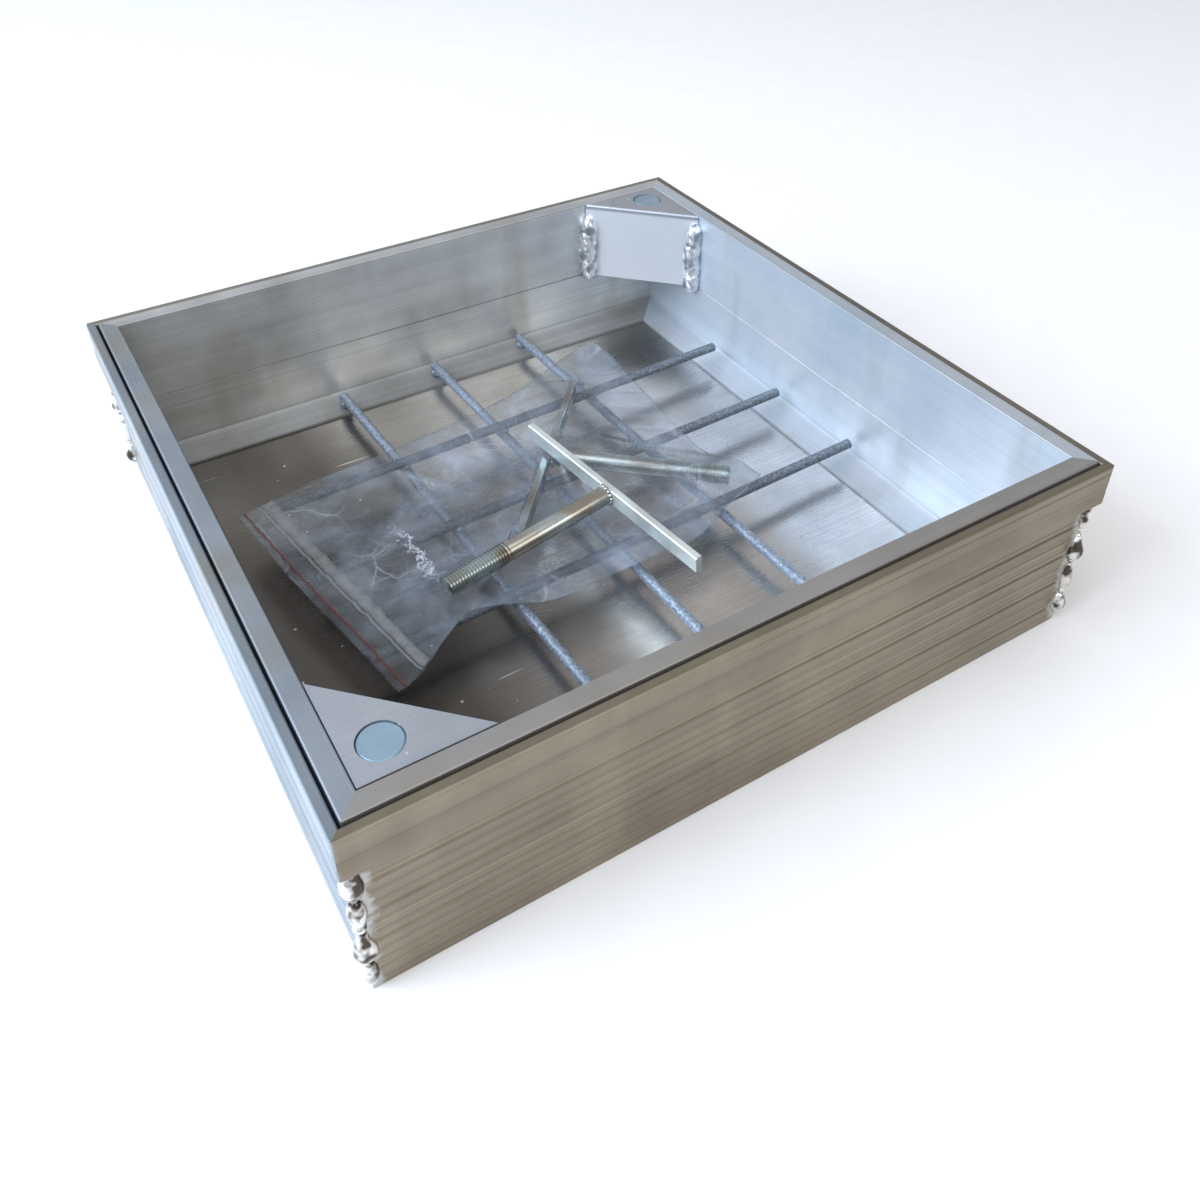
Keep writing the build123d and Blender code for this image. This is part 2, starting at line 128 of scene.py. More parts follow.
def drawn_aluminium(name, run, light, dark, roughness, grooved, shade_depth):
    """Mill-finish extrusion: faint unbroken die lines, cloudy handling marks, and painted shade in its
    grooves, at its foot and on its rim's top.

    run is the extrusion's direction, 0 for X and 1 for Y. Die lines are about 0.8 mm apart.
    grooved is for the frame's outside, with its four grooves; the others have a sloped foot painted darker as
    shade.
    shade_depth is how strongly the painted shade is laid on, from 0 to 1.
    """
    made, tree, place = new_material(name)
    stretch = [1 / (0.8 * MM)] * 3
    stretch[run] = 1.5
    fine = add(tree, "ShaderNodeMapping", {"Scale": stretch}, {"Vector": place})
    lines = add(tree, "ShaderNodeTexNoise", {"Scale": 1, "Detail": 2}, {"Vector": fine.outputs[0]})
    stretch = [1 / (9 * MM)] * 3
    stretch[run] = 2.5
    wide = add(tree, "ShaderNodeMapping", {"Scale": stretch}, {"Vector": place})
    bands = add(tree, "ShaderNodeTexNoise", {"Scale": 1, "Detail": 1}, {"Vector": wide.outputs[0]})
    marks = add(
        tree,
        "ShaderNodeTexNoise",
        {"Scale": 13, "Detail": 5, "Roughness": 0.55},
        {"Vector": place},
    )
    both = add(
        tree,
        "ShaderNodeMath",
        {"operation": "MULTIPLY_ADD", 1: 0.5},
        {0: bands.outputs[0], 2: lines.outputs[0]},
    )
    tone = add(
        tree,
        "ShaderNodeMath",
        {"operation": "MULTIPLY_ADD", 1: 2.2},
        {0: marks.outputs[0], 2: both.outputs[0]},
    )
    share = add(
        tree,
        "ShaderNodeMapRange",
        {"From Min": 1.35, "From Max": 2.35},
        {"Value": tone.outputs[0]},
    )
    clean = add(
        tree,
        "ShaderNodeMix",
        {"data_type": "RGBA", 6: linear(dark), 7: linear(light)},
        {0: share.outputs[0]},
    )
    # straw-coloured marks that water left as it ran down
    runs = add(tree, "ShaderNodeMapping", {"Scale": (22, 22, 5)}, {"Vector": place})
    stain = add(tree, "ShaderNodeTexNoise", {"Scale": 1, "Detail": 3}, {"Vector": runs.outputs[0]})
    wet = add(
        tree,
        "ShaderNodeMapRange",
        {"From Min": 0.52, "From Max": 0.72, "To Max": 0.5},
        {"Value": stain.outputs[0]},
    )
    metal = add(
        tree,
        "ShaderNodeMix",
        {"data_type": "RGBA", 7: linear("#a89d88")},
        {0: wet.outputs[0], 6: clean.outputs[2]},
    )
    parts = add(tree, "ShaderNodeSeparateXYZ", None, {"Vector": place})
    if grooved:
        # painted shade sits in the grooves, in faint lines between them for the ribs' shading, and in the
        # flange's hollow
        row = add(
            tree,
            "ShaderNodeMapRange",
            {"clamp": False, "From Min": GROOVE_TOP, "From Max": GROOVE_TOP - GROOVE_PITCH},
            {"Value": parts.outputs[2]},
        )
        folded = add(tree, "ShaderNodeMath", {"operation": "PINGPONG", 1: 0.5}, {0: row.outputs[0]})
        groove_shade = add(
            tree, "ShaderNodeMapRange", {"From Min": 0.085, "From Max": 0.03, "To Max": 0.75},
            {"Value": folded.outputs[0]},
        )
        between = add(
            tree, "ShaderNodeMath", {"operation": "COMPARE", 1: 0.33, 2: 0.05}, {0: folded.outputs[0]}
        )
        lesser = add(tree, "ShaderNodeMath", {"operation": "MULTIPLY", 1: 0.6}, {0: between.outputs[0]})
        groove_shade = add(
            tree, "ShaderNodeMath", {"operation": "MAXIMUM"}, {0: groove_shade.outputs[0], 1: lesser.outputs[0]}
        )
        under = add(tree, "ShaderNodeMath", {"operation": "LESS_THAN", 1: 71 * MM}, {0: parts.outputs[2]})
        body = add(
            tree,
            "ShaderNodeMath",
            {"operation": "MULTIPLY"},
            {0: groove_shade.outputs[0], 1: under.outputs[0]},
        )
        hollow = add(
            tree, "ShaderNodeMapRange", {"From Min": 86 * MM, "From Max": 90 * MM, "To Max": 0.34},
            {"Value": parts.outputs[2]},
        )
        above = add(tree, "ShaderNodeMath", {"operation": "LESS_THAN", 1: 93.4 * MM}, {0: parts.outputs[2]})
        band = add(
            tree,
            "ShaderNodeMath",
            {"operation": "MULTIPLY"},
            {0: hollow.outputs[0], 1: above.outputs[0]},
        )
        shade_and_dark_lines = add(
            tree,
            "ShaderNodeMath",
            {"operation": "MAXIMUM"},
            {0: body.outputs[0], 1: band.outputs[0]},
        )
    else:
        # painted shade on the sloped foot, darker towards the floor sheet, and a faint dark line along the
        # walls
        foot = add(
            tree, "ShaderNodeMapRange", {"From Min": 20 * MM, "From Max": 16 * MM, "To Max": 0.75},
            {"Value": parts.outputs[2]},
        )
        line = add(
            tree,
            "ShaderNodeMath",
            {"operation": "COMPARE", 1: SCRIBE_LINE, 2: 0.55 * MM},
            {0: parts.outputs[2]},
        )
        faint = add(tree, "ShaderNodeMath", {"operation": "MULTIPLY", 1: 0.7}, {0: line.outputs[0]})
        shade_and_dark_lines = add(
            tree,
            "ShaderNodeMath",
            {"operation": "MAXIMUM"},
            {0: foot.outputs[0], 1: faint.outputs[0]},
        )
    scaled_shade = add(tree, "ShaderNodeMath", {"operation": "MULTIPLY", 1: shade_depth}, {0: shade_and_dark_lines.outputs[0]})
    # the rim's top is painted darker than the sides: painted shade
    rim = add(
        tree, "ShaderNodeMapRange", {"From Min": RIM_TOP_FROM, "From Max": RIM_TOP_TO, "To Max": 0.42},
        {"Value": parts.outputs[2]},
    )
    painted_shade = add(tree, "ShaderNodeMath", {"operation": "MAXIMUM"}, {0: scaled_shade.outputs[0], 1: rim.outputs[0]})
    # the painted shade's colour, a dark brown-grey
    shaded_metal = add(
        tree,
        "ShaderNodeMix",
        {"data_type": "RGBA", 7: linear("#38352f")},
        {0: painted_shade.outputs[0], 6: metal.outputs[2]},
    )
    # where the shade is painted, the metal's shine is turned down too, most of all at a grazing view
    bare = add(
        tree,
        "ShaderNodeMapRange",
        {"From Max": 0.8, "To Min": 0.78, "To Max": 0.1},
        {"Value": painted_shade.outputs[0]},
    )
    shine = add(
        tree,
        "ShaderNodeMapRange",
        {"From Max": 0.8, "To Min": 0.5, "To Max": 0.05},
        {"Value": painted_shade.outputs[0]},
    )
    # the last few millimetres beside each corner weld are ground pale, below the flange only
    reach = add(tree, "ShaderNodeMath", {"operation": "ABSOLUTE"}, {0: parts.outputs[run]})
    torn = add(tree, "ShaderNodeTexNoise", {"Scale": 90, "Detail": 5, "Roughness": 0.65}, {"Vector": place})
    edge = add(
        tree,
        "ShaderNodeMath",
        {"operation": "MULTIPLY_ADD", 1: 17 * MM},
        {0: torn.outputs[0], 2: reach.outputs[0]},
    )
    ground = add(
        tree, "ShaderNodeMapRange", {"From Min": 0.197, "From Max": 0.2, "To Max": 0.85},
        {"Value": edge.outputs[0]},
    )
    below = add(tree, "ShaderNodeMath", {"operation": "LESS_THAN", 1: 82 * MM}, {0: parts.outputs[2]})
    worn = add(
        tree,
        "ShaderNodeMath",
        {"operation": "MULTIPLY"},
        {0: ground.outputs[0], 1: below.outputs[0]},
    )
    colour = add(
        tree,
        "ShaderNodeMix",
        {"data_type": "RGBA", 7: linear("#b7b8b6")},
        {0: worn.outputs[0], 6: shaded_metal.outputs[2]},
    )
    dull = add(
        tree,
        "ShaderNodeMapRange",
        {"From Min": 1.2, "From Max": 2.5, "To Min": roughness + 0.08, "To Max": roughness - 0.06},
        {"Value": tone.outputs[0]},
    )
    relief = add(
        tree,
        "ShaderNodeBump",
        {"Strength": 0.2, "Distance": 0.05 * MM},
        {"Height": both.outputs[0]},
    )
    surface(
        tree,
        {},
        {
            "Base Color": colour.outputs[2],
            "Metallic": bare.outputs[0],
            "Specular IOR Level": shine.outputs[0],
            "Roughness": dull.outputs[0],
            "Normal": relief.outputs[0],
        },
    )
    return made


def rolled_sheet(name, light, dark, roughness, metallic, skirt):
    """Rolled aluminium sheet. Cloudy stains, fine rolling lines, short scratches and swarf specks.

    skirt is for the gussets, which are paler below their bend. Without it the sheet is the
    tray's floor, painted darker along its sides as shade.
    """
    made, tree, place = new_material(name)
    rolled = add(tree, "ShaderNodeMapping", {"Scale": (9, 900, 900)}, {"Vector": place})
    lines = add(tree, "ShaderNodeTexNoise", {"Scale": 1, "Detail": 3}, {"Vector": rolled.outputs[0]})
    clouds = add(
        tree,
        "ShaderNodeTexNoise",
        {"Scale": 14, "Detail": 7, "Roughness": 0.6},
        {"Vector": place},
    )
    tone = add(
        tree,
        "ShaderNodeMath",
        {"operation": "MULTIPLY_ADD", 1: 0.35},
        {0: lines.outputs[0], 2: clouds.outputs[0]},
    )
    share = add(
        tree,
        "ShaderNodeMapRange",
        {"From Min": 0.45, "From Max": 0.85},
        {"Value": tone.outputs[0]},
    )
    metal = add(
        tree,
        "ShaderNodeMix",
        {"data_type": "RGBA", 6: linear(dark), 7: linear(light)},
        {0: share.outputs[0]},
    )
    if not skirt:
        # the floor is painted darker along its left side, and less along its right: painted shade
        parts = add(tree, "ShaderNodeSeparateXYZ", None, {"Vector": place})
        left_shade = add(
            tree, "ShaderNodeMapRange", {"From Min": 0.0, "From Max": -0.1, "To Max": 0.95},
            {"Value": parts.outputs[0]},
        )
        right_shade = add(
            tree, "ShaderNodeMapRange", {"From Min": 0.05, "From Max": 0.13, "To Max": 0.42},
            {"Value": parts.outputs[0]},
        )
        grey = add(
            tree,
            "ShaderNodeMath",
            {"operation": "MAXIMUM"},
            {0: left_shade.outputs[0], 1: right_shade.outputs[0]},
        )
        metal = add(
            tree,
            "ShaderNodeMix",
            {"data_type": "RGBA", 7: linear("#5c5853")},
            {0: grey.outputs[0], 6: metal.outputs[2]},
        )
    # short scratches, aslant to the rolling lines
    turned = add(
        tree,
        "ShaderNodeMapping",
        {"Rotation": (0, 0, 0.9), "Scale": (18, 420, 420)},
        {"Vector": place},
    )
    scratched = add(tree, "ShaderNodeTexNoise", {"Scale": 1, "Detail": 2}, {"Vector": turned.outputs[0]})
    scratch = add(
        tree, "ShaderNodeMapRange", {"From Min": 0.735, "From Max": 0.78}, {"Value": scratched.outputs[0]}
    )
    grit = add(tree, "ShaderNodeTexVoronoi", {"Scale": 75}, {"Vector": place})
    speck = add(
        tree,
        "ShaderNodeMapRange",
        {"From Min": 0.07, "From Max": 0.04},
        {"Value": grit.outputs["Distance"]},
    )
    bright = add(
        tree,
        "ShaderNodeMath",
        {"operation": "MAXIMUM"},
        {0: scratch.outputs[0], 1: speck.outputs[0]},
    )
    colour = add(
        tree,
        "ShaderNodeMix",
        {"data_type": "RGBA", 7: linear("#dcdedd")},
        {0: bright.outputs[0], 6: metal.outputs[2]},
    )
    if skirt:
        # below the bend the sheet is paler and bluer
        parts = add(tree, "ShaderNodeSeparateXYZ", None, {"Vector": place})
        below_bend = add(
            tree, "ShaderNodeMapRange", {"From Min": 104.5 * MM, "From Max": 103 * MM},
            {"Value": parts.outputs[2]},
        )
        colour = add(
            tree,
            "ShaderNodeMix",
            {"data_type": "RGBA", 7: linear("#f2f7fb")},
            {0: below_bend.outputs[0], 6: colour.outputs[2]},
        )
    dull = add(
        tree,
        "ShaderNodeMapRange",
        {"From Min": 0.4, "From Max": 0.9, "To Min": roughness + 0.1, "To Max": roughness - 0.04},
        {"Value": tone.outputs[0]},
    )
    relief = add(
        tree,
        "ShaderNodeBump",
        {"Strength": 0.25, "Distance": 0.08 * MM},
        {"Height": tone.outputs[0]},
    )
    surface(
        tree,
        {"Metallic": metallic},
        {"Base Color": colour.outputs[2], "Roughness": dull.outputs[0], "Normal": relief.outputs[0]},
    )
    return made


def weld_aluminium(name, light, dark, roughness, metallic):
    """Aluminium weld metal, bright and wet-looking, with a satin skin between its ripples."""
    made, tree, place = new_material(name)
    skin = add(tree, "ShaderNodeTexNoise", {"Scale": 130, "Detail": 2}, {"Vector": place})
    share = add(
        tree,
        "ShaderNodeMapRange",
        {"From Min": 0.42, "From Max": 0.54},
        {"Value": skin.outputs[0]},
    )
    colour = add(
        tree,
        "ShaderNodeMix",
        {"data_type": "RGBA", 6: linear(dark), 7: linear(light)},
        {0: share.outputs[0]},
    )
    dull = add(
        tree,
        "ShaderNodeMapRange",
        {"To Min": roughness + 0.08, "To Max": roughness - 0.06},
        {"Value": skin.outputs[0]},
    )
    relief = add(
        tree,
        "ShaderNodeBump",
        {"Strength": 0.12, "Distance": 0.1 * MM},
        {"Height": skin.outputs[0]},
    )
    surface(
        tree,
        {"Metallic": metallic},
        {"Base Color": colour.outputs[2], "Roughness": dull.outputs[0], "Normal": relief.outputs[0]},
    )
    return made


def hot_dip_galvanised(name, light, dark):
    """Hot-dip galvanised bar. A grainy crust of zinc, dull blue-grey with bright crystals and dark pits."""
    made, tree, place = new_material(name)
    crust = add(
        tree,
        "ShaderNodeTexNoise",
        {"Scale": 520, "Detail": 6, "Roughness": 0.7},
        {"Vector": place},
    )
    crystals = add(tree, "ShaderNodeTexVoronoi", {"Scale": 650}, {"Vector": place})
    tone = add(
        tree,
        "ShaderNodeMath",
        {"operation": "MULTIPLY_ADD", 1: 0.35},
        {0: crystals.outputs["Distance"], 2: crust.outputs[0]},
    )
    share = add(
        tree,
        "ShaderNodeMapRange",
        {"From Min": 0.42, "From Max": 0.95},
        {"Value": tone.outputs[0]},
    )
    colour = add(
        tree,
        "ShaderNodeMix",
        {"data_type": "RGBA", 6: linear(dark), 7: linear(light)},
        {0: share.outputs[0]},
    )
    dull = add(
        tree, "ShaderNodeMapRange", {"To Min": 0.62, "To Max": 0.38}, {"Value": tone.outputs[0]}
    )
    relief = add(
        tree,
        "ShaderNodeBump",
        {"Strength": 0.8, "Distance": 0.5 * MM},
        {"Height": tone.outputs[0]},
    )
    surface(
        tree,
        {"Metallic": 0.6},
        {"Base Color": colour.outputs[2], "Roughness": dull.outputs[0], "Normal": relief.outputs[0]},
    )
    return made


def zinc_plate(name, light, tint, roughness, metallic):
    """Bright zinc plating over steel. Its passivation film shades from blue-white to pale straw."""
    made, tree, place = new_material(name)
    film = add(tree, "ShaderNodeTexNoise", {"Scale": 38, "Detail": 3}, {"Vector": place})
    share = add(
        tree,
        "ShaderNodeMapRange",
        {"From Min": 0.38, "From Max": 0.62},
        {"Value": film.outputs[0]},
    )
    colour = add(
        tree,
        "ShaderNodeMix",
        {"data_type": "RGBA", 6: linear(light), 7: linear(tint)},
        {0: share.outputs[0]},
    )
    grain = add(tree, "ShaderNodeTexNoise", {"Scale": 900, "Detail": 3}, {"Vector": place})
    dull = add(
        tree,
        "ShaderNodeMapRange",
        {"To Min": roughness + 0.08, "To Max": roughness - 0.06},
        {"Value": grain.outputs[0]},
    )
    relief = add(
        tree,
        "ShaderNodeBump",
        {"Strength": 0.2, "Distance": 0.05 * MM},
        {"Height": grain.outputs[0]},
    )
    surface(
        tree,
        {"Metallic": metallic},
        {"Base Color": colour.outputs[2], "Roughness": dull.outputs[0], "Normal": relief.outputs[0]},
    )
    return made


def seal_rubber(name, light, dark):
    """EPDM sponge seal, matt black with a fine open grain."""
    made, tree, place = new_material(name)
    grain = add(tree, "ShaderNodeTexNoise", {"Scale": 800, "Detail": 4}, {"Vector": place})
    colour = add(
        tree,
        "ShaderNodeMix",
        {"data_type": "RGBA", 6: linear(dark), 7: linear(light)},
        {0: grain.outputs[0]},
    )
    relief = add(
        tree,
        "ShaderNodeBump",
        {"Strength": 0.5, "Distance": 0.2 * MM},
        {"Height": grain.outputs[0]},
    )
    surface(
        tree,
        {"Roughness": 0.85},
        {"Base Color": colour.outputs[2], "Normal": relief.outputs[0]},
    )
    return made


def polythene_film():
    """Clear low-density polythene: nearly invisible face on, with painted highlights along every crease and
    fold.
    """
    made, tree, place = new_material("clear LDPE film")
    warp = add(tree, "ShaderNodeTexNoise", {"Scale": 26, "Detail": 3}, {"Vector": place})
    bent = add(
        tree,
        "ShaderNodeVectorMath",
        {"operation": "MULTIPLY_ADD", 1: (0.022, 0.022, 0.022)},
        {0: warp.outputs["Color"], 2: place},
    )
    # flat facets about 33 mm and 10 mm across, creased where they meet
    large = add(
        tree,
        "ShaderNodeTexVoronoi",
        {"feature": "DISTANCE_TO_EDGE", "Scale": 30},
        {"Vector": bent.outputs[0]},
    )
    small = add(
        tree,
        "ShaderNodeTexVoronoi",
        {"feature": "DISTANCE_TO_EDGE", "Scale": 95},
        {"Vector": bent.outputs[0]},
    )
    facets = add(
        tree,
        "ShaderNodeMath",
        {"operation": "MULTIPLY_ADD", 1: 0.3},
        {0: small.outputs[0], 2: large.outputs[0]},
    )
    relief = add(
        tree,
        "ShaderNodeBump",
        {"Strength": 0.75, "Distance": 5 * MM},
        {"Height": facets.outputs[0]},
    )
    # painted highlights along the crease lines, only in the patches that were crushed
    crushed = add(tree, "ShaderNodeTexNoise", {"Scale": 24, "Detail": 3}, {"Vector": place})
    patch = add(
        tree, "ShaderNodeMapRange", {"From Min": 0.46, "From Max": 0.62}, {"Value": crushed.outputs[0]}
    )
    line = add(
        tree,
        "ShaderNodeMapRange",
        {"From Min": 0.03, "From Max": 0.0, "To Max": 0.45},
        {"Value": large.outputs[0]},
    )
    hair = add(
        tree,
        "ShaderNodeMapRange",
        {"From Min": 0.04, "From Max": 0.0, "To Max": 0.22},
        {"Value": small.outputs[0]},
    )
    lines = add(tree, "ShaderNodeMath", {"operation": "MAXIMUM"}, {0: line.outputs[0], 1: hair.outputs[0]})
    white = add(
        tree,
        "ShaderNodeMath",
        {"operation": "MULTIPLY"},
        {0: lines.outputs[0], 1: patch.outputs[0]},
    )
    # the film covers more at a grazing view, so the veil shows there as a painted sheen
    slant = add(tree, "ShaderNodeLayerWeight", {"Blend": 0.4}, {"Normal": relief.outputs[0]})
    gloss = add(
        tree,
        "ShaderNodeMapRange",
        {"From Min": 0.15, "From Max": 1.0, "To Min": 0.0, "To Max": 0.6},
        {"Value": slant.outputs["Facing"]},
    )
    # the haze of two plies of film, uneven
    haze = add(
        tree,
        "ShaderNodeTexNoise",
        {"Scale": 24, "Detail": 6, "Roughness": 0.62},
        {"Vector": bent.outputs[0]},
    )
    cloudy = add(
        tree,
        "ShaderNodeMapRange",
        {"From Min": 0.4, "From Max": 0.66},
        {"Value": haze.outputs[0]},
    )
    misty = add(
        tree, "ShaderNodeMapRange", {"From Min": 0.4, "From Max": 0.66, "To Min": 0.22, "To Max": 0.36},
        {"Value": haze.outputs[0]},
    )
    # one hard crumpled crease, ragged and about 60 mm long, runs across the bag beside the key's tip, its
    # white a painted highlight
    spot = add(
        tree,
        "ShaderNodeMapping",
        {
            "vector_type": "TEXTURE",
            "Location": (-87.5 * MM, -2 * MM, 0),
            "Rotation": (0, 0, math.radians(-84)),
        },
        {"Vector": place},
    )
    ragged = add(
        tree,
        "ShaderNodeTexNoise",
        {"Scale": 130, "Detail": 4, "Roughness": 0.7},
        {"Vector": place},
    )
    swing = add(
        tree, "ShaderNodeVectorMath", {"operation": "SUBTRACT", 1: (0.5, 0.5, 0.5)},
        {0: ragged.outputs["Color"]},
    )
    torn = add(
        tree,
        "ShaderNodeVectorMath",
        {"operation": "MULTIPLY_ADD", 1: (0.03, 0.03, 0)},
        {0: swing.outputs[0], 2: spot.outputs[0]},
    )
    axes = add(tree, "ShaderNodeSeparateXYZ", None, {"Vector": torn.outputs[0]})
    off_x = add(tree, "ShaderNodeMath", {"operation": "ABSOLUTE"}, {0: axes.outputs[0]})
    off_y = add(tree, "ShaderNodeMath", {"operation": "ABSOLUTE"}, {0: axes.outputs[1]})
    long_x = add(
        tree,
        "ShaderNodeMapRange",
        {"From Min": 33 * MM, "From Max": 20 * MM},
        {"Value": off_x.outputs[0]},
    )
    thin_y = add(
        tree, "ShaderNodeMapRange", {"From Min": 1.8 * MM, "From Max": 0.0, "To Max": 0.85},
        {"Value": off_y.outputs[0]},
    )
    crush = add(
        tree,
        "ShaderNodeMath",
        {"operation": "MULTIPLY"},
        {0: long_x.outputs[0], 1: thin_y.outputs[0]},
    )
    painted_highlights = add(
        tree,
        "ShaderNodeMath",
        {"operation": "MAXIMUM"},
        {0: white.outputs[0], 1: crush.outputs[0]},
    )
    seen = add(tree, "ShaderNodeMath", {"operation": "MAXIMUM"}, {0: gloss.outputs[0], 1: misty.outputs[0]})
    cover = add(
        tree,
        "ShaderNodeMath",
        {"operation": "MAXIMUM"},
        {0: painted_highlights.outputs[0], 1: seen.outputs[0]},
    )
    # the veil's colour follows the uneven haze from grey to pale blue; the pale blue is painted reflection of
    # the cool light
    veil = add(
        tree,
        "ShaderNodeMix",
        {"data_type": "RGBA", 6: linear("#5f666e"), 7: linear("#a3b1c2")},
        {0: cloudy.outputs[0]},
    )
    # the creases' painted highlights, near-white
    colour = add(
        tree,
        "ShaderNodeMix",
        {"data_type": "RGBA", 7: linear("#e6eefb")},
        {0: painted_highlights.outputs[0], 6: veil.outputs[2]},
    )
    surface(
        tree,
        {"Roughness": 0.16, "Coat Weight": 1.0, "Coat Roughness": 0.05},
        {"Base Color": colour.outputs[2], "Alpha": cover.outputs[0], "Normal": relief.outputs[0]},
    )
    return made


def tinted_film(name, colour, cover):
    """Thicker extruded polythene, as in a bag's zip, its colour a little uneven along its length."""
    made, tree, place = new_material(name)
    uneven = add(tree, "ShaderNodeTexNoise", {"Scale": 240, "Detail": 3}, {"Vector": place})
    seen = add(
        tree,
        "ShaderNodeMapRange",
        {"To Min": cover - 0.15, "To Max": cover + 0.1},
        {"Value": uneven.outputs[0]},
    )
    surface(
        tree,
        {"Base Color": linear(colour), "Roughness": 0.3},
        {"Alpha": seen.outputs[0]},
    )
    return made


# each side's extrusion is its own lit or shaded copy, with its own colours and shade depth: painted light,
# the left cool and bright from the light at -X, the front warm and dark, the tray's back and right walls pale
# where the light falls
RAIL_METAL = {
    "frame_rail_front": drawn_aluminium(
        "extruded aluminium, front, painted warm light", 0, "#938976", "#796f60", 0.42, True, 0.36
    ),
    "frame_rail_back": drawn_aluminium(
        "extruded aluminium, back", 0, "#a5a196", "#8c877c", 0.42, True, 0.5
    ),
    "frame_rail_left": drawn_aluminium(
        "extruded aluminium, left, painted cool light", 1, "#a6b3bb", "#83909a", 0.30, True, 1.0
    ),
    "frame_rail_right": drawn_aluminium(
        "extruded aluminium, right", 1, "#8f8980", "#777168", 0.42, True, 0.5
    ),
    "tray_rail_front": drawn_aluminium(
        "tray extrusion, front", 0, "#bdbab6", "#a5a29e", 0.42, False, 0.6
    ),
    "tray_rail_back": drawn_aluminium("tray extrusion, back", 0, "#eef1f1", "#b6b8b7", 0.40, False, 0.8),
    "tray_rail_left": drawn_aluminium("tray extrusion, left", 1, "#b9c4cd", "#97a2ac", 0.40, False, 1.0),
    "tray_rail_right": drawn_aluminium(
        "tray extrusion, right", 1, "#edf4fa", "#c9d6e2", 0.50, False, 0.6
    ),
}
floor_sheet = rolled_sheet("rolled aluminium floor", "#e6e5e3", "#b7b4b0", 0.26, 0.95, False)
gusset_sheet = rolled_sheet("rolled aluminium gusset", "#b7bcc3", "#9ba1a8", 0.45, 0.75, True)
# the dark brown in the weld's mottling is painted reflection of its surroundings
weld_metal = weld_aluminium("as-welded aluminium", "#dcd8d2", "#4f463e", 0.12, 1.0)
seam_metal = weld_aluminium("as-welded aluminium, frosted", "#f0f3f6", "#a3aab2", 0.28, 0.8)
galvanised = hot_dip_galvanised("hot-dip galvanised steel", "#b9c6d4", "#606c7a")
# the crosswise bars are a darker copy of the same zinc: painted shade
shaded_galvanised = hot_dip_galvanised("hot-dip galvanised steel, painted shade", "#8e97a0", "#454a50")
key_zinc = zinc_plate("bright zinc plate", "#c3cfd0", "#a7a196", 0.24, 0.95)
bar_zinc = zinc_plate("bright zinc plate on flat bar", "#eef8f6", "#d3dcd8", 0.34, 0.75)
cap_zinc = zinc_plate("satin zinc plate", "#a5c0d2", "#97b0c0", 0.42, 0.8)
rubber = seal_rubber("EPDM sponge", "#2b2a29", "#141414")
dusty_rubber = seal_rubber("EPDM sponge under dust", "#77746e", "#4d4a46")
film = polythene_film()
band_film = tinted_film("milky LDPE zip", "#c3c8cd", 0.26)
line_film = tinted_film("red zip line", "#8f4741", 0.5)

FINISH = {
    "frame_gasket": rubber,
    "frame_gasket_front": dusty_rubber,
    "tray_floor": floor_sheet,
    "corner_gusset": gusset_sheet,
    "key_socket": cap_zinc,
    "socket_cap": cap_zinc,
    "lengthwise_bar": galvanised,
    "crosswise_bar": shaded_galvanised,
    "key_one": key_zinc,
    "key_two": key_zinc,
    "key_one_handle": bar_zinc,
    "zip_bag": film,
}
# a node takes the last finish whose name it starts with, and the welds are what remains
for label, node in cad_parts.items():
    chosen = RAIL_METAL.get(label, weld_metal)
    for start, finish in FINISH.items():
        if label.startswith(start):
            chosen = finish
    node.data.materials.clear()
    node.data.materials.append(chosen)


# ---- Weld beads ------------------------------------------------------------------------------
def lump(bm, centre, radii, seed, uneven=0.16, belly=0.0):
    """One bead of weld metal: an egg about centre with low lumps, fatter below the middle by its belly."""
    made = bmesh.ops.create_uvsphere(bm, u_segments=24, v_segments=24, radius=1)
    for vert in made["verts"]:
        way = vert.co.copy()
        girth = 1 + uneven * noise.noise(way * 1.5 + Vector((seed * 7.3, seed * 3.1, seed)))
        girth -= belly * way.z * (1 - way.z * way.z)
        vert.co = centre + Vector((way.x * radii[0] * girth, way.y * radii[1] * girth, way.z * radii[2]))


# Each corner's four beads, their bottoms and tops in millimetres, how thick and how pear-shaped they are
BEAD_RADIUS, CAD_BEAD_RADIUS = 4.5 * MM, 4.6 * MM
BEAD_SPANS = ((64.4, 81.6), (43.6, 61.8), (22.4, 41.6), (7.5, 20.4))
BEAD_GIRTHS = (1.0, 0.84, 0.97, 0.8)
BEAD_BELLIES = (0.35, -0.25, 0.75, 0.2)
for number, place in enumerate(("front_left", "front_right", "back_right", "back_left")):
    low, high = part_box(f"frame_welds_{place}")
    corner = Vector((
        (high.x - CAD_BEAD_RADIUS) if high.x > 0 else (low.x + CAD_BEAD_RADIUS),
        (high.y - CAD_BEAD_RADIUS) if high.y > 0 else (low.y + CAD_BEAD_RADIUS),
        0,
    ))
    beads = bmesh.new()
    for row, (bottom, top) in enumerate(BEAD_SPANS):
        size = BEAD_GIRTHS[(row + number) % 4] * BEAD_RADIUS
        belly = BEAD_BELLIES[(row + number) % 4]
        sunk = Vector((-corner.x, -corner.y, 0)).normalized() * 0.4 * MM
        centre = corner + sunk + Vector((0, 0, (bottom + top) / 2 * MM))
        lump(beads, centre, (size, size, (top - bottom) / 2 * MM), number * 10 + row, 0.07, belly)
        # the crater where each bead was stopped
        stop = corner + Vector((0, 0, (bottom + 1) * MM))
        lump(beads, stop, (2.6 * MM, 2.6 * MM, 2.6 * MM), number * 10 + row + 50, 0.25)
    finish_piece(beads, f"corner_beads_{place}", "frame", weld_metal, (f"frame_welds_{place}",))

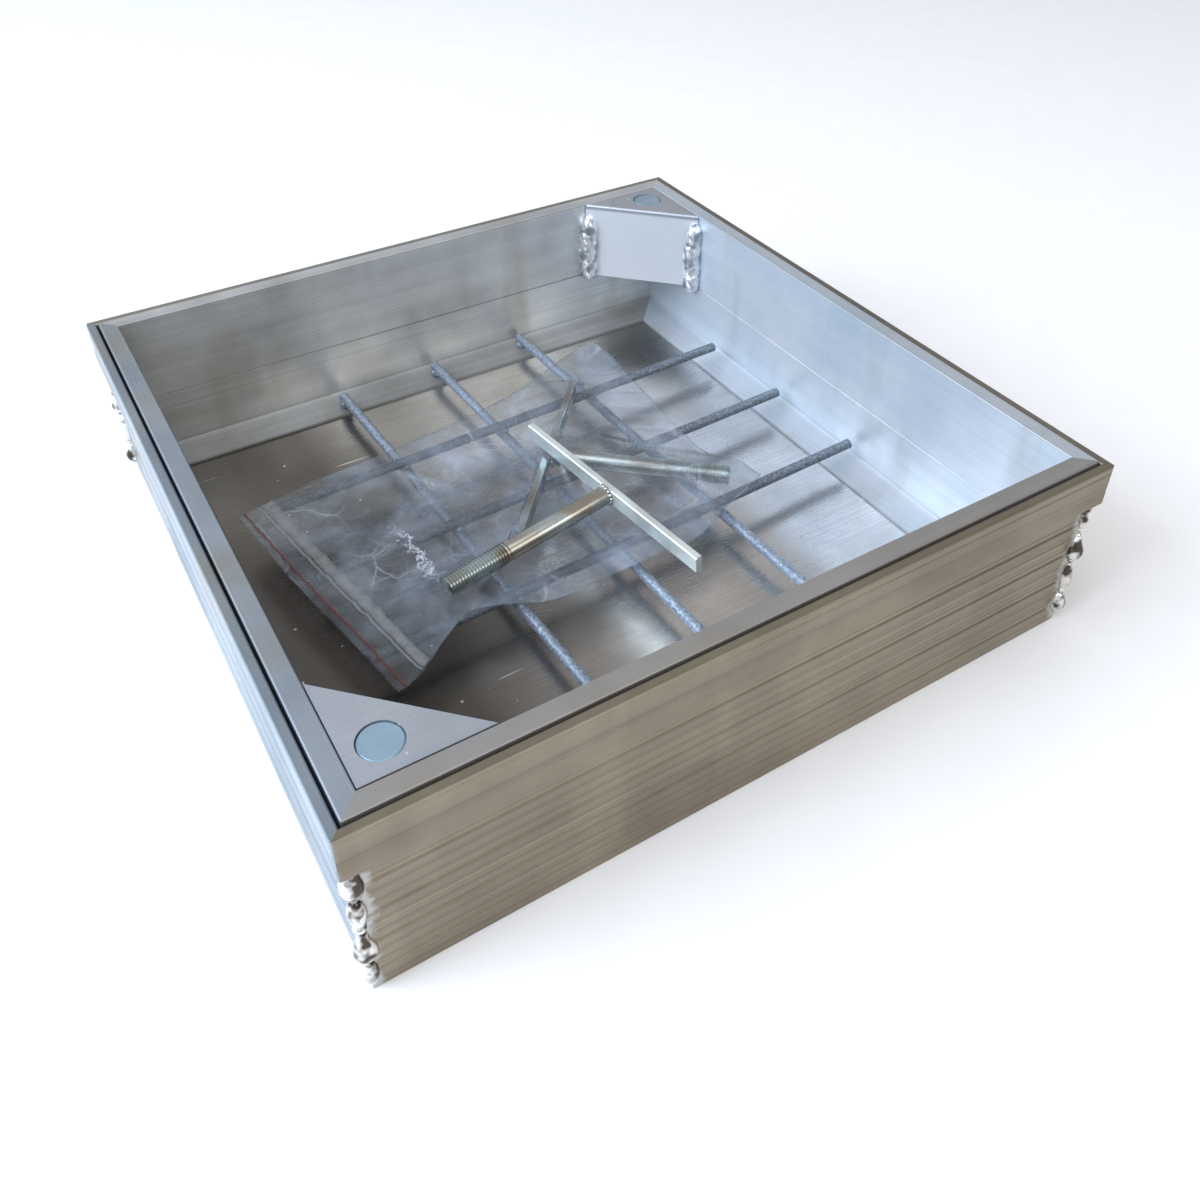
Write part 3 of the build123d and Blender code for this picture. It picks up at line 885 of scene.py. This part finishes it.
# Each gusset's two seams are stacks of long lumps run into each other
SEAM_END = 9 * MM
for place, sign in (("front", 1), ("back", -1)):
    low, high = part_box(f"gusset_welds_{place}")
    near, far = (low, high) if sign > 0 else (high, low)
    seams = bmesh.new()
    feet = (
        Vector((near.x + sign * 3.4 * MM, far.y - sign * 5.5 * MM, 0)),
        Vector((far.x - sign * 5.5 * MM, near.y + sign * 3.4 * MM, 0)),
    )
    for side, foot in enumerate(feet):
        chance = random.Random(31 + side + 5 * sign)
        height = low.z + SEAM_END
        while height < high.z - SEAM_END:
            size = chance.uniform(5.4, 6.3) * MM
            slip = Vector((chance.uniform(-0.5, 0.5), chance.uniform(-0.5, 0.5), 0)) * MM
            lump(seams, foot + slip + Vector((0, 0, height)), (size, size, SEAM_END), height * 900, 0.14)
            height += chance.uniform(4.0, 7.0) * MM
    finish_piece(seams, f"gusset_seams_{place}", "lid", seam_metal, (f"gusset_welds_{place}",))

# The tray's corner seams stand behind its foot, where only the underside shows them
hidden = bmesh.new()
low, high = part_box("tray_corner_welds")
for x in (low.x + 2 * MM, high.x - 2 * MM):
    for y in (low.y + 2 * MM, high.y - 2 * MM):
        for row in range(9):
            spot = Vector((x, y, low.z + (4 + 7.6 * row) * MM))
            lump(hidden, spot, (1.8 * MM, 1.8 * MM, 4.2 * MM), row + x * 90 + y * 70, 0.1)
finish_piece(hidden, "tray_corner_beads", "lid", weld_metal, ("tray_corner_welds",))


def island_middles(node):
    """The middle of each separate blob in a CAD node."""
    blobs = bmesh.new()
    blobs.from_mesh(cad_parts[node].data)
    bmesh.ops.remove_doubles(blobs, verts=blobs.verts, dist=0.01 * MM)
    waiting = set(blobs.verts)
    middles = []
    while waiting:
        reached = [waiting.pop()]
        points = []
        while reached:
            vert = reached.pop()
            points.append(vert.co.copy())
            for edge in vert.link_edges:
                other = edge.other_vert(vert)
                if other in waiting:
                    waiting.remove(other)
                    reached.append(other)
        ends = [(min(p[i] for p in points), max(p[i] for p in points)) for i in range(3)]
        middles.append(Vector([(low + high) / 2 for low, high in ends]))
    blobs.free()
    return sorted(middles, key=lambda p: (round(p.y, 3), p.x))


tacks = bmesh.new()
for number, middle in enumerate(island_middles("mesh_tack_welds")):
    lump(tacks, middle, (3.7 * MM, 3.6 * MM, 3.0 * MM), number + 3.5, 0.3)
finish_piece(tacks, "mesh_tacks", "lid", galvanised, ("mesh_tack_welds",))


# ---- Threaded key rods -----------------------------------------------------------------------
ROD_LENGTH, ROD_RADIUS = 105 * MM, 5.4 * MM
THREAD_LENGTH, PITCH = 37 * MM, 1.75 * MM
ROOT_RADIUS, CREST_RADIUS = 4.95 * MM, 5.95 * MM
CHAMFER = 0.9 * MM  # at the thread's tip
STEPS = 28  # round the thread

for number, body in (("one", "key_one"), ("two", "spare_key_bag")):
    hub = middle_of(f"key_{number}_handle")
    heading = (middle_of(f"key_{number}_rod") - hub).normalized()
    stand = heading.to_track_quat("Z", "Y").to_matrix().to_4x4()
    rod = bmesh.new()
    # the plain shank, from the bar to the thread
    shank = ROD_LENGTH - THREAD_LENGTH
    bmesh.ops.create_cone(
        rod,
        cap_ends=True,
        segments=48,
        radius1=ROD_RADIUS,
        radius2=ROD_RADIUS,
        depth=shank,
        matrix=Matrix.Translation((0, 0, shank / 2)),
    )
    rim = [e for e in rod.edges if all(v.co.z > shank - 1e-6 for v in e.verts)]
    bmesh.ops.bevel(
        rod,
        geom=rim,
        offset=0.5 * MM,
        offset_type="OFFSET",
        segments=2,
        profile=0.5,
        affect="EDGES",
        material=-1,
    )
    # one turn's profile, spun up the rod with its pitch
    flanks = ((0, 0), (0.15, 0), (0.75, 1), (0.98, 1), (1.58, 0), (1.75, 0))
    first = shank - 1.5 * PITCH
    profile = [
        rod.verts.new((ROOT_RADIUS + share * (CREST_RADIUS - ROOT_RADIUS), 0, first + height * MM))
        for height, share in flanks
    ]
    lines = [rod.edges.new(pair) for pair in zip(profile, profile[1:])]
    turns = round(THREAD_LENGTH / PITCH) + 2
    bmesh.ops.spin(
        rod,
        geom=profile + lines,
        cent=(0, 0, 0),
        axis=(0, 0, 1),
        dvec=(0, 0, PITCH / STEPS),
        angle=2 * math.pi * turns,
        steps=STEPS * turns,
        use_merge=False,
    )
    skin = [v for v in rod.verts if v.co.z > first - 1e-6 and math.hypot(v.co.x, v.co.y) > 1 * MM]
    bmesh.ops.remove_doubles(rod, verts=skin, dist=0.01 * MM)
    # cut the thread to length, and close it with a chamfered tip
    tip = ROD_LENGTH - CHAMFER
    bmesh.ops.bisect_plane(
        rod,
        geom=[*rod.verts, *rod.edges, *rod.faces],
        dist=1e-7,
        plane_co=(0, 0, tip),
        plane_no=(0, 0, 1),
        clear_outer=True,
    )
    bmesh.ops.create_cone(
        rod,
        cap_ends=True,
        segments=48,
        radius1=CREST_RADIUS - 0.15 * MM,
        radius2=ROOT_RADIUS - 0.2 * MM,
        depth=CHAMFER,
        matrix=Matrix.Translation((0, 0, tip + CHAMFER / 2)),
    )
    bmesh.ops.transform(rod, matrix=Matrix.Translation(hub + heading * 2 * MM) @ stand, verts=rod.verts)
    piece = finish_piece(
        rod, f"threaded_rod_{number}", body, key_zinc, (f"key_{number}_rod",)
    )
    piece.modifiers.new("edges", "EDGE_SPLIT").split_angle = math.radians(38)

    # the fillet bead round the rod's foot, in short ripples
    ring = bmesh.new()
    across = heading.orthogonal().normalized()
    for step in range(15):
        turn = Matrix.Rotation(2 * math.pi * step / 15, 3, heading)
        lump(
            ring,
            hub + heading * 2.7 * MM + (turn @ across) * ROD_RADIUS,
            (1.25 * MM, 1.25 * MM, 1.25 * MM),
            step,
        )
    finish_piece(ring, f"key_bead_{number}", body, key_zinc, (f"key_{number}_weld",))


# ---- Zip bag ---------------------------------------------------------------------------------
BAG_FLAT = (0.266, 0.160)
LENGTH_STEPS, WIDTH_STEPS = 132, 80
FALL_FRAMES = 34  # how long the film falls
# The bag's four edges as it lies, from above, in millimetres
FRONT_EDGE = ((-135, -87), (-120, -82), (-100, -66), (-82, -56), (-62, -62), (-40, -72), (-8, -71), (24, -70),
              (50, -70), (80, -58), (107, -50))
BACK_EDGE = ((-162, 78), (-110, 86), (-60, 91), (-20, 95), (16, 103), (58, 114), (97, 124))
MOUTH_EDGE = ((-135, -87), (-141, -50), (-149, -8), (-156, 34), (-162, 78))
FAR_EDGE = ((107, -50), (96, -26), (96, 13), (100, 58), (101, 96), (97, 124))
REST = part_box("zip_bag")[0].z + 0.2 * MM


def along(points, share):
    """A point on a smooth line through the given points, at a share of its length."""
    spots = [Vector((x, y)) * MM for x, y in points]
    lengths = [(b - a).length for a, b in zip(spots, spots[1:])]
    want = share * sum(lengths)
    for index, length in enumerate(lengths):
        if want <= length or index == len(lengths) - 1:
            break
        want -= length
    t = want / lengths[index]
    before = spots[max(index - 1, 0)]
    after = spots[min(index + 2, len(spots) - 1)]
    a, b = spots[index], spots[index + 1]
    return 0.5 * (
        2 * a + (b - before) * t + (2 * before - 5 * a + 4 * b - after) * t * t
        + (3 * a - before - 3 * b + after) * t * t * t
    )


FRONT = [along(FRONT_EDGE, u / LENGTH_STEPS) for u in range(LENGTH_STEPS + 1)]
BACK = [along(BACK_EDGE, u / LENGTH_STEPS) for u in range(LENGTH_STEPS + 1)]
MOUTH = [along(MOUTH_EDGE, v / WIDTH_STEPS) for v in range(WIDTH_STEPS + 1)]
FAR = [along(FAR_EDGE, v / WIDTH_STEPS) for v in range(WIDTH_STEPS + 1)]


def bag_plan(u, v):
    """Where the flat bag's point lies from above, blended between its four edges."""
    s, t = u / LENGTH_STEPS, v / WIDTH_STEPS
    ruled = FRONT[u] * (1 - t) + BACK[u] * t + MOUTH[v] * (1 - s) + FAR[v] * s
    front_corners = FRONT[0] * (1 - s) * (1 - t) + FRONT[-1] * s * (1 - t)
    return ruled - (front_corners + BACK[0] * (1 - s) * t + BACK[-1] * s * t)


def edge_lift(s, t):
    """How far the film stands up off the bars near its edges, where its welds hold it stiff."""
    corner = math.exp(-((1 - s) ** 2 + (1 - t) ** 2) / 0.035) * 8.0
    front = math.exp(-((1 - s) ** 2 + t * t) / 0.02) * 3.0
    wave = 1.1 + 0.9 * math.sin(17 * s + 2 * t) * math.sin(9 * t + 1)
    return (corner + front + wave) * MM


def to_segment(point, a, b):
    """Distance from above to a line between two points, and the share along it."""
    way = (b - a).to_2d()
    share = max(0.0, min(1.0, (point - a.to_2d()).dot(way) / way.length_squared))
    return (point - a.to_2d() - way * share).length, share


def key_line(number):
    """A key's bar from end to end, and its rod from the bar to its tip."""
    hub = middle_of(f"key_{number}_handle")
    heading = (middle_of(f"key_{number}_rod") - hub).normalized()
    side = Vector((-heading.y, heading.x, 0)).normalized() * 73 * MM
    return (hub - side, hub + side, 5 * MM, 2 * MM), (hub, hub + heading * 107 * MM, 6.2 * MM, 6.2 * MM)


KEY_IN_BAG, LOOSE_KEY = key_line("two"), key_line("one")


def over_key(point):
    """Height of the taut film over the key in the bag."""
    height = 0.0
    for a, b, up, wide in KEY_IN_BAG:
        gap, share = to_segment(point, a, b)
        top = (a.z + (b.z - a.z) * share) + up + 0.5 * MM - REST
        spare = max(0.0, gap - wide)
        height = max(height, top * math.exp(-((spare / (13 * MM)) ** 1.15)))
    return height


def under_key(point):
    """The most that the film may stand up to under the loose key."""
    limit = 1.0
    for a, b, down, wide in LOOSE_KEY:
        gap, share = to_segment(point, a, b)
        bottom = a.z + (b.z - a.z) * share - down - 0.6 * MM
        limit = min(limit, bottom + max(0.0, gap - wide - 1.5 * MM) * 0.9)
    return limit


def drape(heights):
    """Lets a slack sheet fall over the key and settle, ten times its size so that the solver is steady."""
    grow = 10.0
    sheet = bmesh.new()
    grid = {}
    for (u, v), spot in heights.items():
        grid[u, v] = sheet.verts.new(spot * grow)
    for u in range(LENGTH_STEPS):
        for v in range(WIDTH_STEPS):
            sheet.faces.new((grid[u, v], grid[u + 1, v], grid[u + 1, v + 1], grid[u, v + 1]))
    mesh = bpy.data.meshes.new("slack_sheet")
    sheet.to_mesh(mesh)
    sheet.free()
    cloth = bpy.data.objects.new("slack_sheet", mesh)
    bpy.context.scene.collection.objects.link(cloth)
    held = cloth.vertex_groups.new(name="held")
    order = list(heights)
    for index, (u, v) in enumerate(order):
        if u in (0, LENGTH_STEPS) or v in (0, WIDTH_STEPS):
            held.add([index], 1.0, "REPLACE")
    stops = []
    for source in ("key_two_handle", "key_two_rod"):
        copy = bpy.data.objects.new("stop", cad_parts[source].data.copy())
        copy.data.transform(Matrix.Scale(grow, 4))
        stops.append(copy)
    table = bmesh.new()
    level = Matrix.Translation((0, 0, REST * grow))
    bmesh.ops.create_grid(table, x_segments=8, y_segments=8, size=3, matrix=level)
    ground = bpy.data.meshes.new("ground")
    table.to_mesh(ground)
    table.free()
    stops.append(bpy.data.objects.new("stop", ground))
    for stop in stops:
        bpy.context.scene.collection.objects.link(stop)
        stop.modifiers.new("stop", "COLLISION")
        stop.collision.thickness_outer = 0.003
    solver = cloth.modifiers.new("fall", "CLOTH")
    solver.settings.quality = 7
    solver.settings.mass = 0.12
    solver.settings.tension_stiffness = 30
    solver.settings.compression_stiffness = 30
    solver.settings.bending_stiffness = 0.6
    solver.settings.air_damping = 2.0
    solver.settings.shrink_min = -0.035
    solver.settings.vertex_group_mass = "held"
    solver.collision_settings.distance_min = 0.004
    solver.collision_settings.collision_quality = 3
    solver.point_cache.frame_start = 1
    solver.point_cache.frame_end = FALL_FRAMES
    for step in range(1, FALL_FRAMES + 1):
        bpy.context.scene.frame_set(step)
    fallen = cloth.evaluated_get(bpy.context.evaluated_depsgraph_get())
    settled = {spot: fallen.data.vertices[i].co / grow for i, spot in enumerate(order)}
    for made in (cloth, *stops):
        bpy.data.objects.remove(made)
    bpy.context.scene.frame_set(1)
    return settled


taut = {}
for u in range(LENGTH_STEPS + 1):
    for v in range(WIDTH_STEPS + 1):
        spot = bag_plan(u, v)
        lift = edge_lift(u / LENGTH_STEPS, v / WIDTH_STEPS)
        crumple = noise.noise(Vector((spot.x * 42, spot.y * 42, 3.7))) * 1.3 * MM
        taut[u, v] = Vector((spot.x, spot.y, REST + max(lift, over_key(spot) + lift * 0.3) + abs(crumple)))
top_ply = drape(taut)

bag = bmesh.new()
top, bottom = {}, {}
for (u, v), spot in top_ply.items():
    on_edge = u in (0, LENGTH_STEPS) or v in (0, WIDTH_STEPS)
    height = min(spot.z, under_key(spot.to_2d()))
    top[u, v] = bag.verts.new((spot.x, spot.y, height))
    s, t = u / LENGTH_STEPS, v / WIDTH_STEPS
    # the lower ply follows the lifted edge for its first 25 mm, then lies on the bars
    inset = min(min(s, 1 - s) * BAG_FLAT[0], min(t, 1 - t) * BAG_FLAT[1]) / (25 * MM)
    raised = (edge_lift(s, t) - 1.1 * MM) * max(0.0, 1 - inset)
    base = taut[u, v]
    beneath = Vector((base.x, base.y, min(height - 0.25 * MM, REST + max(0.0, raised))))
    bottom[u, v] = top[u, v] if on_edge else bag.verts.new(beneath)
for u in range(LENGTH_STEPS):
    for v in range(WIDTH_STEPS):
        ring = ((u, v), (u + 1, v), (u + 1, v + 1), (u, v + 1))
        bag.faces.new([top[c] for c in ring])
        bag.faces.new([bottom[c] for c in reversed(ring)])
pouch = finish_piece(bag, "film_pouch", "spare_key_bag", film, ("zip_bag",))


def ribbon(name, distance, width, thick, material):
    """A strip of the bag's zip, across the mouth at a distance from its edge, all in millimetres."""
    strip = bmesh.new()
    rows = []
    for v in range(1, WIDTH_STEPS):
        pair = []
        for side in (-0.5, 0.5):
            u = (distance + side * width) / BAG_FLAT[0] * MM * LENGTH_STEPS
            whole = int(u)
            a, b = STRIP[whole, v], STRIP[whole + 1, v]
            pair.append(strip.verts.new(a.lerp(b, u - whole) + Vector((0, 0, 0.35 * MM))))
        rows.append(pair)
    for (a, b), (c, d) in zip(rows, rows[1:]):
        strip.faces.new((a, b, d, c))
    piece = finish_piece(strip, name, "spare_key_bag", material)
    wall = piece.modifiers.new("thickness", "SOLIDIFY")
    wall.thickness = thick * MM
    wall.offset = 0
    return piece


STRIP = {c: Vector((s.x, s.y, min(s.z, under_key(s.to_2d())))) for c, s in top_ply.items() if c[0] < 20}
zip_pieces = [
    ribbon("mouth_red_line", 7, 1.1, 0.3, line_film),
    ribbon("mouth_zip_outer", 17, 1.6, 0.6, band_film),
    ribbon("mouth_zip_band", 22, 6.5, 0.4, band_film),
]

# ---- Floor, light and camera -----------------------------------------------------------------
floor_mesh = bmesh.new()
bmesh.ops.create_grid(floor_mesh, x_segments=1, y_segments=1, size=6)
page = bpy.data.meshes.new("pale_floor")
floor_mesh.to_mesh(page)
floor_mesh.free()
made, tree, place = new_material("pale matt floor")
faint = add(tree, "ShaderNodeTexNoise", {"Scale": 30, "Detail": 4}, {"Vector": place})
pale = add(
    tree,
    "ShaderNodeMix",
    {"data_type": "RGBA", 6: linear("#f4f4f4"), 7: linear("#fafafa")},
    {0: faint.outputs[0]},
)
surface(tree, {"Roughness": 0.7}, {"Base Color": pale.outputs[2]})
page.materials.append(made)
floor = bpy.data.objects.new("pale_floor", page)
bpy.context.scene.collection.objects.link(floor)

world = bpy.data.worlds.new("studio")
bpy.context.scene.world = world
world.use_nodes = True
tree = world.node_tree
tree.nodes.clear()
way = add(tree, "ShaderNodeTexCoord").outputs["Generated"]
parts = add(tree, "ShaderNodeSeparateXYZ", None, {"Vector": way})
cool = add(tree, "ShaderNodeMapRange", {"From Min": 0.5, "From Max": -0.9}, {"Value": parts.outputs[0]})
sky = add(
    tree,
    "ShaderNodeMix",
    {"data_type": "RGBA", 6: linear("#b4aeaa"), 7: linear("#e6f0fc")},
    {0: cool.outputs[0]},
)
glow = add(tree, "ShaderNodeBackground", {"Strength": 1.0}, {"Color": sky.outputs[2]})
add(tree, "ShaderNodeOutputWorld", None, {"Surface": glow.outputs[0]})


def softbox(name, spot, aim, size, power, colour):
    """A square soft light at a spot, facing a point."""
    lamp = bpy.data.lights.new(name, "AREA")
    lamp.shape = "RECTANGLE"
    lamp.size, lamp.size_y = size
    lamp.energy = power
    lamp.color = linear(colour)[:3]
    light = bpy.data.objects.new(name, lamp)
    bpy.context.scene.collection.objects.link(light)
    light.location = spot
    light.rotation_euler = (Vector(aim) - Vector(spot)).to_track_quat("-Z", "Y").to_euler()


softbox("cool_side", (-1.7, 0.3, 1.2), (0.1, 0, 0.05), (1.8, 1.4), 54, "#dceaff")
softbox("overhead", (-0.9, -0.5, 2.3), (0, 0, 0), (1.8, 1.8), 18, "#f4f8ff")
softbox("front_fill", (0.2, -1.9, 1.3), (0, 0.1, 0.05), (1.6, 1.0), 12, "#f6f3ee")

camera = bpy.data.objects.new("camera", bpy.data.cameras.new("camera"))
bpy.context.scene.collection.objects.link(camera)
bpy.context.scene.camera = camera
bpy.context.scene.view_settings.view_transform = "Standard"
AZIMUTH, ELEVATION, DISTANCE = math.radians(-31.28), math.radians(35.72), 0.638
back = Vector((
    math.sin(AZIMUTH) * math.cos(ELEVATION),
    -math.cos(AZIMUTH) * math.cos(ELEVATION),
    math.sin(ELEVATION),
))
right = Vector((math.cos(AZIMUTH), math.sin(AZIMUTH), 0))
up = back.cross(right)
camera.matrix_world = Matrix.Translation(
    (cad_low + cad_high) / 2 + back * DISTANCE + right * 0.0242 + up * 0.0257
) @ Matrix((right, up, back)).transposed().to_4x4()
camera.data.sensor_width = 36
camera.data.lens = 34.19
camera.data.shift_y = -0.15
camera.data.clip_start = 0.02

bpy.context.view_layer.update()
